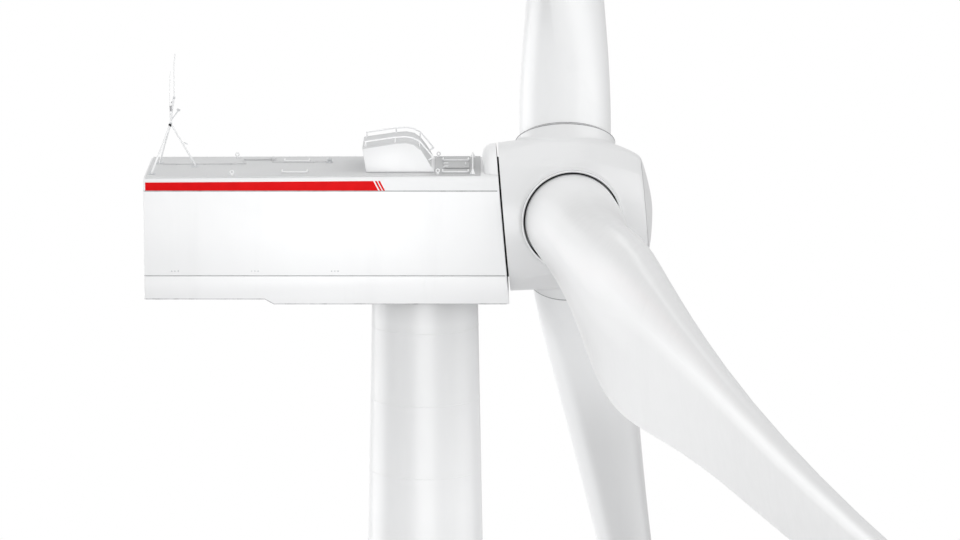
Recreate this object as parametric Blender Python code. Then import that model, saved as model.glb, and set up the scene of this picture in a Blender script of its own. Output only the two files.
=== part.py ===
"""Rotor and nacelle assembly of a wind turbine, as a 1:10 scale model.

Every size below is the real machine's, in metres, and SCALE brings it down to the model.
+X points to the rotor's nose, +Z up, and the origin is the centre of the tower section's
bottom face, on the tower's axis.
"""

import math

import bmesh
import bpy
from mathutils import Matrix, Vector

SCALE = 0.1
GAP = 0.003  # left between pieces that rest on each other, 0.3 mm on the model
RUNNING = 0.06  # left between pieces that move past each other, 6 mm on the model

TOWER_CAN_HEIGHTS = [2.30, 2.30, 2.30, 2.30, 2.30, 1.53]
TOWER_TOP_RADIUS = 1.65
TOWER_TAPER = 0.0189  # radius gained for each metre down
TOWER_WALL = 0.08
BASE_FLANGE_THICK = 0.12
YAW_RING_HEIGHT = 0.20
YAW_RING_RADIUS = 1.64

BELLY_Z = 12.66
BELLY_REAR_RISE = 0.155
BELLY_STEP_X = (-4.93, -4.65)
LOWER_SEAM_Z = 13.55
UPPER_SEAM_Z = 16.21
ROOF_Z = 16.68  # at the roof's front end
ROOF_REAR_Z = 16.62
DECK_THICK = 0.03
REAR_X = -8.65
HALF_WIDTH = 2.05
BELLY_PROUD = 0.03
SHOULDER_REAR = 0.05
SHOULDER_FRONT = 0.25
COLLAR_HEIGHT = 2.32  # from the rotor's axis to the top of the housing's front collar
COLLAR_FLAT = 0.10
COLLAR_ROUND = 0.36

HUB = Vector((4.40, 0.0, 15.22))
TILT = math.radians(5.0)
CONE = math.radians(4.25)
BLADE_TURNS = {1: 88, 2: -32, 3: 208}
SPINNER_REAR = -1.925  # along the rotor's axis, from the hub's centre
SPINNER_PROFILE = [
    (-1.925, 2.325), (-1.4, 2.35), (-0.6, 2.38), (0.0, 2.385), (0.6, 2.35), (1.1, 2.23), (1.55, 2.03),
    (2.0, 1.82), (2.36, 1.60), (2.47, 1.48),
]
NOSE_PROFILE = [(2.473, 1.475), (2.53, 1.30), (2.60, 0.98), (2.66, 0.60), (2.70, 0.25), (2.71, 0.0)]
# A flat belt runs from the spinner's rear to its nose between each two blades, at these distances
# from the rotor's axis.
BELT_PROFILE = [
    (-1.95, 2.345), (-1.2, 2.31), (0.6, 2.29), (1.1, 2.175), (1.55, 1.98), (2.0, 1.765), (2.36, 1.54),
    (2.5, 1.40),
]
RING_FROM_HUB = 2.33
RING_RADIUS = 1.51
COLLAR_TOP_RADIUS = 1.565
COLLAR_BASE_RADIUS = 1.62
SOCKET_FLOOR = 1.20
SEAL_DRUM_RADIUS = 1.88
SHAFT_RADIUS = 0.60

ROOT_RADIUS = 1.44
BLADE_START = 1.453
# The blade bends upwind by this much at its tip, and less before it by this power of the distance.
PREBEND = 3.37
PREBEND_POWER = 2.5
# Distance from the hub's centre, chord, thickness, part of the chord ahead of the pitch
# axis, twist in degrees, and how far the section has turned from a circle into a wing.
BLADE_STATIONS = [
    (1.453, 2.88, 2.88, 0.50, 0.0, 0.00),
    (3.60, 2.88, 2.88, 0.50, 2.0, 0.00),
    (5.20, 2.94, 2.80, 0.475, 8.0, 0.12),
    (7.20, 3.10, 2.56, 0.43, 14.0, 0.35),
    (9.50, 3.36, 2.22, 0.385, 16.6, 0.60),
    (12.0, 3.82, 1.86, 0.362, 16.5, 0.82),
    (15.0, 4.34, 1.52, 0.356, 14.9, 0.95),
    (18.0, 4.66, 1.26, 0.364, 13.1, 1.0),
    (21.0, 4.64, 1.06, 0.373, 11.4, 1.0),
    (25.0, 4.20, 0.88, 0.376, 9.2, 1.0),
    (30.0, 3.52, 0.72, 0.370, 7.0, 1.0),
    (35.0, 2.94, 0.58, 0.352, 5.2, 1.0),
    (40.0, 2.51, 0.47, 0.320, 3.8, 1.0),
    (46.0, 2.10, 0.38, 0.287, 2.5, 1.0),
    (52.0, 1.73, 0.31, 0.266, 1.3, 1.0),
    (58.0, 1.42, 0.25, 0.262, 0.5, 1.0),
    (64.0, 1.14, 0.20, 0.27, 0.0, 1.0),
    (69.0, 0.86, 0.15, 0.29, 0.0, 1.0),
    (71.8, 0.58, 0.10, 0.34, 0.0, 1.0),
    (73.0, 0.22, 0.05, 0.45, 0.0, 1.0),
]
# Where the ridge on the blade's downwind face lies: distance and part of the chord.
RIDGE = [(9.5, 0.40), (16.0, 0.39), (28.0, 0.27), (38.0, 0.17), (50.0, 0.14)]
NOSE_POINTS = 6  # between the leading edge and the ridge, or the thickest point upwind
BLADE_POINTS = 28

HOOD_TOP_HALF_WIDTH = 1.10
HOOD_FOOT_HALF_WIDTH = 1.30
HOOD_FOOT_X = (-1.80, 0.33)
HOOD_PROFILE = [
    (-1.93, 17.40), (-1.35, 17.49), (-0.92, 17.555), (-0.58, 17.58), (-0.33, 17.53), (-0.12, 17.37),
    (0.06, 17.11), (0.22, 16.84),
]
HOOD_RAIL_RISE = 0.155
RAIL_RADIUS = 0.025

WHITE = (0.86, 0.87, 0.87)
GREY = (0.60, 0.61, 0.62)
BLACK = (0.03, 0.03, 0.035)
STEEL = (0.45, 0.46, 0.47)

scene = bpy.context.scene
for old in list(bpy.data.objects):
    bpy.data.objects.remove(old, do_unlink=True)


def material(name, colour, metallic=0.0, roughness=0.45):
    made = bpy.data.materials.new(name)
    made.use_nodes = True
    shader = made.node_tree.nodes["Principled BSDF"]
    shader.inputs["Base Color"].default_value = (*colour, 1.0)
    shader.inputs["Metallic"].default_value = metallic
    shader.inputs["Roughness"].default_value = roughness
    return made


def node(name, bm, colour=WHITE, parent=None, metallic=0.0, smooth=False):
    """An object of this bmesh, drawn in real metres about its parent's origin."""
    bmesh.ops.scale(bm, vec=(SCALE, SCALE, SCALE), verts=bm.verts)
    bmesh.ops.recalc_face_normals(bm, faces=bm.faces)
    mesh = bpy.data.meshes.new(name)
    bm.to_mesh(mesh)
    bm.free()
    if smooth:
        mesh.shade_smooth()
    made = bpy.data.objects.new(name, mesh)
    scene.collection.objects.link(made)
    if parent:
        made.parent = parent
    if colour:
        mesh.materials.append(material(name + "_paint", colour, metallic))
    return made


def axis_empty(name, place, turn, parent=None):
    """An empty on a joint's axis, placed in real metres, with turn as a 3 x 3 matrix."""
    made = bpy.data.objects.new(name, None)
    scene.collection.objects.link(made)
    made.parent = parent
    made.location = Vector(place) * SCALE
    made.rotation_mode = "QUATERNION"
    made.rotation_quaternion = turn.to_quaternion()
    return made


def boolean(target, other, operation="DIFFERENCE"):
    other.hide_render = True
    other.display_type = "WIRE"
    step = target.modifiers.new(operation.lower(), "BOOLEAN")
    step.object = other
    step.operation = operation
    step.solver = "EXACT"


def rounded(target, width, segments=3, angle=35):
    step = target.modifiers.new("rounded", "BEVEL")
    step.width = width * SCALE
    step.segments = segments
    step.limit_method = "ANGLE"
    step.angle_limit = math.radians(angle)


def box(low, high):
    bm = bmesh.new()
    bmesh.ops.create_cube(bm, size=1.0)
    low, high = Vector(low), Vector(high)
    bmesh.ops.scale(bm, vec=high - low, verts=bm.verts)
    bmesh.ops.translate(bm, vec=(low + high) / 2, verts=bm.verts)
    return bm


def prism(profile, y_low, y_high):
    """The closed outline of (x, z) points, drawn out along Y."""
    bm = bmesh.new()
    face = bm.faces.new([bm.verts.new((x, y_low, z)) for x, z in profile])
    grown = bmesh.ops.extrude_face_region(bm, geom=[face])["geom"]
    moved = [part for part in grown if isinstance(part, bmesh.types.BMVert)]
    bmesh.ops.translate(bm, vec=(0, y_high - y_low, 0), verts=moved)
    return bm


def lathe(profile, steps, axis="Z"):
    """A closed outline of (along, radius) points, or one that starts and ends on the axis, turned."""
    bm = bmesh.new()
    verts = [bm.verts.new((radius, 0, along)) for along, radius in profile]
    edges = [bm.edges.new(pair) for pair in zip(verts, verts[1:])]
    if min(profile[0][1], profile[-1][1]) > 0:
        edges.append(bm.edges.new((verts[-1], verts[0])))
    bmesh.ops.spin(
        bm, geom=verts + edges, cent=(0, 0, 0), axis=(0, 0, 1), angle=2 * math.pi, steps=steps,
        use_merge=True,
    )
    bmesh.ops.remove_doubles(bm, verts=bm.verts, dist=1e-5)
    if axis == "X":
        bmesh.ops.rotate(bm, cent=(0, 0, 0), matrix=Matrix.Rotation(math.pi / 2, 3, "Y"), verts=bm.verts)
    return bm


def drum(low, high, radius, steps=48, axis="Z"):
    return lathe([(low, 0), (low, radius), (high, radius), (high, 0)], steps, axis)


def tube(points, radius, sides=8):
    """A round bar through these points, mitred where it turns, with flat ends."""
    points = [Vector(point) for point in points]
    bm = bmesh.new()
    side = None
    rings = []
    for index, point in enumerate(points):
        before = (point - points[index - 1]).normalized() if index else None
        after = (points[index + 1] - point).normalized() if index + 1 < len(points) else None
        along = ((before or after) + (after or before)).normalized()
        widen = 1 / max(0.3, along.dot(after or before))
        if side is None:
            side = along.orthogonal().normalized()
        side = (side - along * side.dot(along)).normalized()
        other = along.cross(side)
        ring = []
        for step in range(sides):
            turn = 2 * math.pi * step / sides
            offset = side * math.cos(turn) + other * math.sin(turn)
            if before and after and widen > 1.001:
                fold = (after - before).normalized()
                offset += fold * offset.dot(fold) * (widen - 1)
            ring.append(bm.verts.new(point + offset * radius))
        rings.append(ring)
    for first, second in zip(rings, rings[1:]):
        for step in range(sides):
            after = (step + 1) % sides
            bm.faces.new((first[step], first[after], second[after], second[step]))
    bm.faces.new(rings[0][::-1])
    bm.faces.new(rings[-1])
    return bm


def united(name, shapes, colour, parent=None, metallic=0.0):
    """One body made of several overlapping shapes."""
    first = node(name, shapes[0], colour, parent, metallic)
    for index, shape in enumerate(shapes[1:]):
        boolean(first, node(f"{name}_joined_{index + 1}", shape, None, parent), "UNION")
    return first


def along_front(z, back=0.0):
    """Where the nacelle's leaning front face stands at height z, this far behind the face."""
    start = SPINNER_REAR - RUNNING - back
    foot = HUB + Vector((math.cos(TILT), 0, math.sin(TILT))) * start
    return foot.x - (z - foot.z) * math.tan(TILT)


def roof_z(x):
    """The roof climbs a little from its rear end to its front end."""
    return ROOF_REAR_Z + (ROOF_Z - ROOF_REAR_Z) * (x - REAR_X) / (along_front(ROOF_Z) - REAR_X)


TOWER_TOP = sum(TOWER_CAN_HEIGHTS) + BASE_FLANGE_THICK
nacelle_axis = axis_empty("nacelle_yaw_axis", (0, 0, TOWER_TOP), Matrix.Identity(3))
rotor_axis = axis_empty("rotor_axis", HUB, Matrix.Rotation(-TILT, 3, "Y"))
blade_axes = {}
for number, degrees in BLADE_TURNS.items():
    turn = Matrix.Rotation(math.radians(degrees), 3, "X") @ Matrix.Rotation(CONE, 3, "Y")
    blade_axes[number] = axis_empty(f"blade_{number}_pitch_axis", (0, 0, 0), turn, rotor_axis)


def in_nacelle(name, bm, *rest, **more):
    """A piece drawn in the row's frame that turns with the nacelle."""
    bmesh.ops.translate(bm, vec=-nacelle_axis.location / SCALE, verts=bm.verts)
    return node(name, bm, *rest, parent=nacelle_axis, **more)


def united_in_nacelle(name, shapes, colour, metallic=0.0):
    for shape in shapes:
        bmesh.ops.translate(shape, vec=-nacelle_axis.location / SCALE, verts=shape.verts)
    united(name, shapes, colour, nacelle_axis, metallic)


def tilted_in_nacelle(piece):
    """Sets a piece that was drawn about the rotor's axis into the nacelle, which carries it."""
    piece.parent = nacelle_axis
    piece.location = HUB * SCALE - nacelle_axis.location
    piece.rotation_mode = "QUATERNION"
    piece.rotation_quaternion = Matrix.Rotation(-TILT, 3, "Y").to_quaternion()


def tower_radius(z):
    return TOWER_TOP_RADIUS + (TOWER_TOP - z) * TOWER_TAPER


# The tower section: a closing base flange, six cans and the ring the nacelle turns on.
flange = drum(0, BASE_FLANGE_THICK, tower_radius(0) + 0.07, 56)
node("tower_base_flange", flange, STEEL, metallic=0.6)
foot = BASE_FLANGE_THICK
for number, height in enumerate(TOWER_CAN_HEIGHTS):
    low, high = foot + GAP, foot + height
    outline = [
        (low, tower_radius(low)),
        (high, tower_radius(high)),
        (high, tower_radius(high) - TOWER_WALL),
        (low, tower_radius(low) - TOWER_WALL),
    ]
    node(f"tower_can_{number + 1}", lathe(outline, 56), WHITE, smooth=False)
    foot = high
ring_low, ring_high = TOWER_TOP + GAP, TOWER_TOP + YAW_RING_HEIGHT
outline = [(ring_low, YAW_RING_RADIUS), (ring_high, YAW_RING_RADIUS), (ring_high, 1.30), (ring_low, 1.30)]
node("yaw_bearing", lathe(outline, 56), STEEL, metallic=0.7)

# The nacelle's housing, with a round pocket for the tower and a recess for the rotor's seal.
pocket_roof = ring_high + GAP
pocket = drum(BELLY_Z - 1, pocket_roof, TOWER_TOP_RADIUS + 0.075, 56)
pocket = in_nacelle("tower_pocket_cutter", pocket, None)
recess_depth = SPINNER_REAR - RUNNING - 0.22 - RUNNING
recess = drum(recess_depth, 1, SEAL_DRUM_RADIUS + RUNNING, 64, "X")
recess = node("rotor_recess_cutter", recess, None, rotor_axis)
shaft_end = -3.20
bore = drum(shaft_end - RUNNING, 0, SHAFT_RADIUS + RUNNING, 32, "X")
bore = node("shaft_bore_cutter", bore, None, rotor_axis)

bearing = [(-3.10, SHAFT_RADIUS + GAP), (-3.10, SHAFT_RADIUS + RUNNING - GAP)]
bearing += [(-2.60, SHAFT_RADIUS + RUNNING - GAP), (-2.60, SHAFT_RADIUS + GAP)]
bearing = node("main_bearing", lathe(bearing, 32, "X"), STEEL, metallic=0.7)
tilted_in_nacelle(bearing)

belly = [
    (REAR_X, BELLY_Z + BELLY_REAR_RISE),
    (BELLY_STEP_X[0], BELLY_Z + BELLY_REAR_RISE),
    (BELLY_STEP_X[1], BELLY_Z),
    (along_front(BELLY_Z), BELLY_Z),
    (along_front(LOWER_SEAM_Z), LOWER_SEAM_Z),
    (REAR_X, LOWER_SEAM_Z),
]
belly = in_nacelle("belly_tray", prism(belly, -HALF_WIDTH - BELLY_PROUD, HALF_WIDTH + BELLY_PROUD), WHITE)
rounded(belly, 0.04, 2)
boolean(belly, pocket)
boolean(belly, recess)

low, high = LOWER_SEAM_Z + GAP, UPPER_SEAM_Z
middle = [(REAR_X, low), (along_front(low), low), (along_front(high), high), (REAR_X, high)]
middle = in_nacelle("main_housing", prism(middle, -HALF_WIDTH, HALF_WIDTH), WHITE)
boolean(middle, pocket)
boolean(middle, recess)
boolean(middle, bore)

# The roof shell: its shoulder is nearly sharp at the rear and widens toward the front.
low = UPPER_SEAM_Z + GAP
roof = bmesh.new()
rings = []
for share in (0.0, 0.5, 1.0):
    high = ROOF_REAR_Z + (ROOF_Z - ROOF_REAR_Z) * share - DECK_THICK - GAP
    radius = SHOULDER_REAR + (SHOULDER_FRONT - SHOULDER_REAR) * share
    outline = [(-HALF_WIDTH, low)]
    for step in range(7):
        turn = math.radians(90 * step / 6)
        inward, down = 1 - math.cos(turn), 1 - math.sin(turn)
        outline.append((-HALF_WIDTH + radius * inward, high - radius * down))
    outline += [(-y, z) for y, z in reversed(outline)]
    rings.append([
        roof.verts.new((REAR_X + (along_front(z) - REAR_X) * share, y, z)) for y, z in outline
    ])
for first, second in zip(rings, rings[1:]):
    for index in range(len(first)):
        after = (index + 1) % len(first)
        roof.faces.new((first[index], first[after], second[after], second[index]))
roof.faces.new(rings[0][::-1])
roof.faces.new(rings[-1])
roof = in_nacelle("roof_shell", roof, WHITE)
boolean(roof, recess)

DECK_FRONT_X = along_front(ROOF_Z, COLLAR_FLAT + COLLAR_ROUND + 0.08)
deck = bmesh.new()
outline = [
    (REAR_X + 0.06, -HALF_WIDTH + 0.07),
    (DECK_FRONT_X, -HALF_WIDTH + SHOULDER_FRONT + 0.01),
    (DECK_FRONT_X, HALF_WIDTH - SHOULDER_FRONT - 0.01),
    (REAR_X + 0.06, HALF_WIDTH - 0.07),
]
face = deck.faces.new([deck.verts.new((x, y, roof_z(x) - DECK_THICK)) for x, y in outline])
grown = bmesh.ops.extrude_face_region(deck, geom=[face])["geom"]
moved = [part for part in grown if isinstance(part, bmesh.types.BMVert)]
bmesh.ops.translate(deck, vec=(0, 0, DECK_THICK), verts=moved)
in_nacelle("roof_deck", deck, GREY)

# The front collar rises over the roof in a round shoulder behind the spinner.
face_at = SPINNER_REAR - RUNNING
outline = [(face_at, 0), (face_at, COLLAR_HEIGHT)]
for step in range(6):
    turn = math.radians(90 * step / 5)
    behind = COLLAR_FLAT + COLLAR_ROUND * math.sin(turn)
    outline.append((face_at - behind, COLLAR_HEIGHT - COLLAR_ROUND * (1 - math.cos(turn))))
outline.append((face_at - COLLAR_FLAT - COLLAR_ROUND, 0))
collar = node("front_collar", lathe(outline, 72, "X"), WHITE)
tilted_in_nacelle(collar)
boolean(collar, recess)
under = in_nacelle("collar_foot_cutter", box((-2, -4, 8), (6, 4, ROOF_Z - DECK_THICK)), None)
boolean(collar, under)

# The cooling hood with its grille, and the rails that follow its top.
hood_foot = [(x, roof_z(x) + GAP) for x in HOOD_FOOT_X]
hood = prism([hood_foot[0]] + HOOD_PROFILE + [hood_foot[1]], -1, 1)
hood_top_z = max(z for _, z in HOOD_PROFILE)
for vert in hood.verts:
    fallen = (hood_top_z - vert.co.z) / (hood_top_z - ROOF_Z)
    vert.co.y *= HOOD_TOP_HALF_WIDTH + (HOOD_FOOT_HALF_WIDTH - HOOD_TOP_HALF_WIDTH) * fallen
hood = in_nacelle("cooling_hood", hood, WHITE)
rounded(hood, 0.035, 2, 50)
mouth = in_nacelle("hood_mouth_cutter", box((-3, -0.90, 16.78), (-1.60, 0.90, 17.29)), None)
boolean(hood, mouth)
in_nacelle("hood_grille", box((-1.72, -0.897, 16.783), (-1.603, 0.897, 17.287)), STEEL)


def hood_top(x):
    points = HOOD_PROFILE
    for (x_low, z_low), (x_high, z_high) in zip(points, points[1:]):
        if x <= x_high:
            return z_low + (z_high - z_low) * (x - x_low) / (x_high - x_low)
    return points[-1][1]


def hood_rail(name, y):
    """A rail over the hood's shoulder, which turns back square to the hood at its front end."""
    top = [(x, y, hood_top(x) + HOOD_RAIL_RISE) for x in (-1.82, -1.35, -0.92, -0.55)]
    top += [(-0.36, y, 17.69), (-0.15, y, 17.59), (0.10, y, 17.30), (0.27, y, 17.08)]
    foot = (top[0][0], y, hood_top(top[0][0] + RAIL_RADIUS) + GAP)
    path = [foot] + top + [(0.133, y, 17.0)]
    shapes = [tube(path, RAIL_RADIUS)]
    for x in (-0.90, -0.15):
        post = [(x, y, hood_top(x - 0.03) + 0.01), (x, y, hood_top(x) + HOOD_RAIL_RISE)]
        shapes.append(tube(post, RAIL_RADIUS * 0.9))
    united_in_nacelle(name, shapes, WHITE)


hood_rail("hood_rail_left", 0.95)
hood_rail("hood_rail_right", -0.95)


def roof_rail(name, x_low, x_high, y, reach=0.36):
    """A handle folded down on the roof: its bar lies at y and its feet stand farther left."""
    path = []
    for x, inward in ((x_low, 0.03), (x_high, -0.03)):
        foot, bar = roof_z(x_high) + GAP, roof_z(x_high) + 0.055
        side = [(x, y + reach, foot), (x, y + reach, bar), (x, y + 0.03, bar)]
        side.append((x + inward, y, bar))
        path += side if not path else side[::-1]
    in_nacelle(name, tube(path, RAIL_RADIUS * 0.9), STEEL)


roof_rail("roof_rail_rear_right", -4.40, -3.63, -1.42)
roof_rail("roof_rail_rear_left", -4.40, -3.63, 0.70)
roof_rail("roof_rail_front_right", 0.57, 1.36, -1.54)
roof_rail("roof_rail_front_left", 0.57, 1.36, 0.70)


def lifting_eye(name, x, y):
    """A ring that stands on a short boss."""
    turns = [2 * math.pi * step / 8 for step in range(8)]
    ring = lathe([(0.018 * math.sin(turn), 0.052 + 0.018 * math.cos(turn)) for turn in turns], 20)
    bmesh.ops.rotate(ring, cent=(0, 0, 0), matrix=Matrix.Rotation(math.pi / 2, 3, "X"), verts=ring.verts)
    bmesh.ops.translate(ring, vec=(x, y, roof_z(x) + 0.108), verts=ring.verts)
    boss = drum(0, 0.05, 0.045, 12)
    bmesh.ops.translate(boss, vec=(x, y, roof_z(x) + GAP), verts=boss.verts)
    united_in_nacelle(name, [boss, ring], STEEL, 0.6)


lifting_eye("lifting_eye_1", -5.93, -1.70)
lifting_eye("lifting_eye_2", -5.93, 1.70)
lifting_eye("lifting_eye_3", 0.42, -1.64)
lifting_eye("lifting_eye_4", 0.42, 1.64)

# The mast at the rear: three legs, a head, a cross arm with the two wind sensors and the rod.
MAST_TOP = Vector((-7.88, -0.50, 18.08))
MAST_FEET = [(-8.42, -1.34), (-7.17, 0.05), (-8.30, 0.67)]
spine = [MAST_TOP + Vector((x, 0, z)) for x, z in ((0, -0.12), (0.04, 0.45), (0.12, 0.86))]
shapes = [tube(spine, 0.035)]
for x, y in MAST_FEET:
    shapes.append(tube([(x, y, roof_z(x) + GAP), (x, y, roof_z(x) + 0.07), tuple(MAST_TOP)], 0.028))
arm_z = MAST_TOP.z + 0.42
shapes.append(tube([(MAST_TOP.x + 0.04, -0.95, arm_z), (MAST_TOP.x + 0.04, -0.05, arm_z)], 0.025))
united_in_nacelle("sensor_mast", shapes, WHITE)
rod_foot = MAST_TOP + Vector((0.12, 0, 0.86 + GAP))
rod = tube([rod_foot, rod_foot + Vector((0.0, 0, 0.9)), rod_foot + Vector((0.04, 0, 1.32))], 0.018, 6)
in_nacelle("lightning_rod", rod, STEEL, metallic=0.6)
for number, y in ((1, -0.95), (2, -0.05)):
    sensor = lathe([(0, 0), (0, 0.05), (0.10, 0.05), (0.13, 0.07), (0.17, 0.07), (0.19, 0.0)], 12)
    bmesh.ops.translate(sensor, vec=(MAST_TOP.x + 0.04, y, arm_z + 0.025 + GAP), verts=sensor.verts)
    in_nacelle(f"wind_sensor_{number}", sensor, BLACK)

outline = [(0, 0), (0, 0.10), (0.03, 0.10), (0.04, 0.075), (0.10, 0.07), (0.14, 0.04), (0.145, 0.0)]
light = lathe(outline, 16)
bmesh.ops.translate(light, vec=(-2.99, 0.67, roof_z(-2.99) + GAP), verts=light.verts)
in_nacelle("obstruction_light", light, GREY)

hatch = box((0.62, -0.62, ROOF_Z + GAP), (1.40, 0.42, ROOF_Z + 0.06))
hatch = in_nacelle("roof_hatch", hatch, GREY)
rounded(hatch, 0.02, 2)

# The rotor: shaft, seal drum, spinner with its three collars, nose, bearings and root seals.
drum_low, drum_high = SPINNER_REAR - RUNNING - 0.22, SPINNER_REAR - GAP
node("shaft_seal_drum", drum(drum_low, drum_high, SEAL_DRUM_RADIUS, 64, "X"), BLACK, rotor_axis)
node("main_shaft", drum(shaft_end, drum_low - GAP, SHAFT_RADIUS, 32, "X"), STEEL, rotor_axis, 0.8)

outline = [(SPINNER_REAR, 0)] + SPINNER_PROFILE + [(SPINNER_PROFILE[-1][0], 0)]
spinner = node("spinner_shell", lathe(outline, 72, "X"), WHITE, rotor_axis)
for number, degrees in BLADE_TURNS.items():
    belt = prism(BELT_PROFILE + [(2.6, 4.0), (-1.96, 4.0)], -3, 3)
    turn = Matrix.Rotation(math.radians(degrees - 60), 3, "X")
    bmesh.ops.rotate(belt, cent=(0, 0, 0), matrix=turn, verts=belt.verts)
    boolean(spinner, node(f"belt_cutter_{number}", belt, None, rotor_axis))
for number, axis in blade_axes.items():
    cone = [(0.9, 0), (0.9, COLLAR_BASE_RADIUS), (1.75, COLLAR_BASE_RADIUS)]
    cone += [(RING_FROM_HUB - 0.05, COLLAR_TOP_RADIUS), (RING_FROM_HUB, COLLAR_TOP_RADIUS - 0.02)]
    cone += [(RING_FROM_HUB, 0)]
    boolean(spinner, node(f"blade_collar_{number}", lathe(cone, 56), None, axis), "UNION")
spinner.modifiers.new("triangles", "TRIANGULATE")
for number, axis in blade_axes.items():
    socket = drum(SOCKET_FLOOR, 2.6, RING_RADIUS, 56)
    bmesh.ops.triangulate(socket, faces=socket.faces)
    boolean(spinner, node(f"socket_cutter_{number}", socket, None, axis))
weld = spinner.modifiers.new("weld", "WELD")
weld.merge_threshold = 0.00002
node("spinner_nose", lathe([(NOSE_PROFILE[0][0], 0)] + NOSE_PROFILE, 72, "X"), WHITE, rotor_axis)

for number, axis in blade_axes.items():
    bearing = drum(SOCKET_FLOOR + GAP, BLADE_START - GAP, 1.30, 40)
    node(f"pitch_bearing_{number}", bearing, STEEL, axis, 0.7)
    seal_in, seal_out = ROOT_RADIUS + GAP, ROOT_RADIUS + 0.015
    outline = [(1.95, seal_out), (2.25, seal_out), (2.25, seal_in), (1.95, seal_in)]
    node(f"root_seal_{number}", lathe(outline, 56), BLACK, axis)


def between(points, distance):
    """The value at this distance on a line through these (distance, value) points."""
    if distance <= points[0][0]:
        return points[0][1]
    for (low, first), (high, second) in zip(points, points[1:]):
        if distance <= high:
            return first + (second - first) * (distance - low) / (high - low)
    return points[-1][1]


def blade_ring(station):
    """The section's points about the pitch axis, with +Y toward the leading edge and +X upwind.

    Both faces are a round nose that ends in the thickest point. Behind it the downwind face
    runs almost straight to the tail, which leaves a ridge, and the upwind face stays full.
    """
    distance, chord, thick, ahead, twist, wing = station
    bend = Vector((PREBEND * (distance / BLADE_STATIONS[-1][0]) ** PREBEND_POWER, 0))
    ridge = between(RIDGE, distance)
    half = BLADE_POINTS // 2
    points = []
    for step in range(BLADE_POINTS):
        side = 1 if step < half else -1
        place = step if step < half else BLADE_POINTS - step
        thickest = ridge if side > 0 else 0.33
        if place <= NOSE_POINTS:
            share = thickest * (1 - math.cos(math.pi / 2 * place / NOSE_POINTS))
            depth = 0.5 * math.sin(math.pi / 2 * place / NOSE_POINTS)
        else:
            back = (place - NOSE_POINTS) / (half - NOSE_POINTS)
            share = thickest + (1 - thickest) * math.sin(math.pi / 2 * back)
            left = (1 - share) / (1 - thickest)
            depth = 0.5 * left**1.1 if side > 0 else 0.5 * (1 - (1 - left) ** 1.7)
        camber = 0.03 * chord * wing * 4 * share * (1 - share)
        wing_x = -side * (depth * thick + 0.008 * chord * share) - camber
        circle_x = -side * math.sqrt(share * (1 - share)) * thick
        x = wing_x * wing + circle_x * (1 - wing)
        y = (ahead - share) * chord
        points.append(Matrix.Rotation(math.radians(-twist), 2) @ Vector((x, y)) + bend)
    return points


for number, axis in blade_axes.items():
    bm = bmesh.new()
    rings = []
    for station in BLADE_STATIONS:
        rings.append([bm.verts.new((point.x, point.y, station[0])) for point in blade_ring(station)])
    for first, second in zip(rings, rings[1:]):
        for index in range(BLADE_POINTS):
            after = (index + 1) % BLADE_POINTS
            bm.faces.new((first[index], first[after], second[after], second[index]))
    bm.faces.new(rings[0][::-1])
    bm.faces.new(rings[-1])
    node(f"blade_{number}", bm, WHITE, axis, smooth=True)
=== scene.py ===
"""Looks for the 1:10 model of a wind turbine's nacelle, rotor and tower top.

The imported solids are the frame. Sizes below are the real machine's, in metres, and SCALE
brings them down to the model, as in the part's own source.
"""

import math

import bmesh
import bpy
from mathutils import Matrix, Vector


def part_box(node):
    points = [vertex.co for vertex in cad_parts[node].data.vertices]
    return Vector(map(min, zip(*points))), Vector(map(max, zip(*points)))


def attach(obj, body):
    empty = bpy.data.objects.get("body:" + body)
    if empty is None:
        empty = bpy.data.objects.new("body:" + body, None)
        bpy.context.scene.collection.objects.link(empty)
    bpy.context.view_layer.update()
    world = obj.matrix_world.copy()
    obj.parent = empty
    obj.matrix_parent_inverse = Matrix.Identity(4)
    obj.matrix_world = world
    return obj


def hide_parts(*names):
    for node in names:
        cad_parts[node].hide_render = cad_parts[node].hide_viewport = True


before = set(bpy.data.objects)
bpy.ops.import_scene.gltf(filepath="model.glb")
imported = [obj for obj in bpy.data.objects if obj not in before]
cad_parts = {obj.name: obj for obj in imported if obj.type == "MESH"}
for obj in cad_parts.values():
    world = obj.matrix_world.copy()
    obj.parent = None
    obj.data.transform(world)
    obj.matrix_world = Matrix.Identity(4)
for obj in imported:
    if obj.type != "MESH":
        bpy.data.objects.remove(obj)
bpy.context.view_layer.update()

bl_info = {
    "name": "Wind turbine nacelle",
    "version": (1, 0, 0),
    "blender": (4, 5, 0),
    "location": "3D View > Sidebar > Turbine",
    "description": "Builds the visible pieces and finishes of a turbine nacelle and rotor",
    "category": "Object",
}


def turned(degrees, axis):
    return Matrix.Rotation(math.radians(degrees), 4, axis)


SCALE = 0.1
HUB = Vector((4.40, 0.0, 15.22))
TILT = 5.0
CONE = 4.25
BLADE_TURNS = {1: 88, 2: -32, 3: 208}
ROTOR = Matrix.Translation(HUB) @ turned(-TILT, "Y")
BLADE_PLACES = {
    number: ROTOR @ turned(turn, "X") @ turned(CONE, "Y") for number, turn in BLADE_TURNS.items()
}
ALONG_X = turned(90, "Y")

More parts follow.
